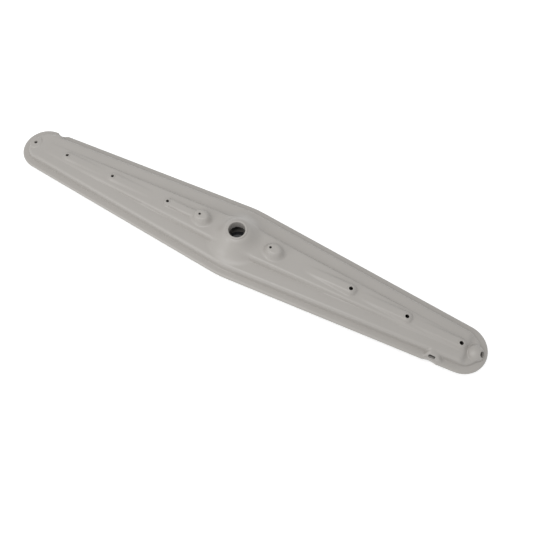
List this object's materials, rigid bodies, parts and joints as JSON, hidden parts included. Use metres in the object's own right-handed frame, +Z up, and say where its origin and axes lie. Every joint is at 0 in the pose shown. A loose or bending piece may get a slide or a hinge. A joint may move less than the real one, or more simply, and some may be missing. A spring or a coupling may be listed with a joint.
{
  "type": "dishwasher spray arm",
  "caption": "Long diamond-shaped hollow spray arm with a central hub, a water channel along the top, upward jets and edge drive nozzles.",
  "frame": {"origin": "on the hub's axis, in the lower face of the bearing, which is the face that the arm stands on", "axes": "+X along the arm, +Z up out of the jets along the hub's axis"},
  "size_m": [0.48, 0.0752, 0.0383],
  "materials": {
    "shell": "warm light grey moulded polypropylene, fine satin",
    "bearing": "dark grey moulded acetal, satin"
  },
  "bodies": {
    "root": {"upper_shell": "shell", "lower_shell": "shell", "hub_bearing": "bearing"}
  },
  "joints": []
}
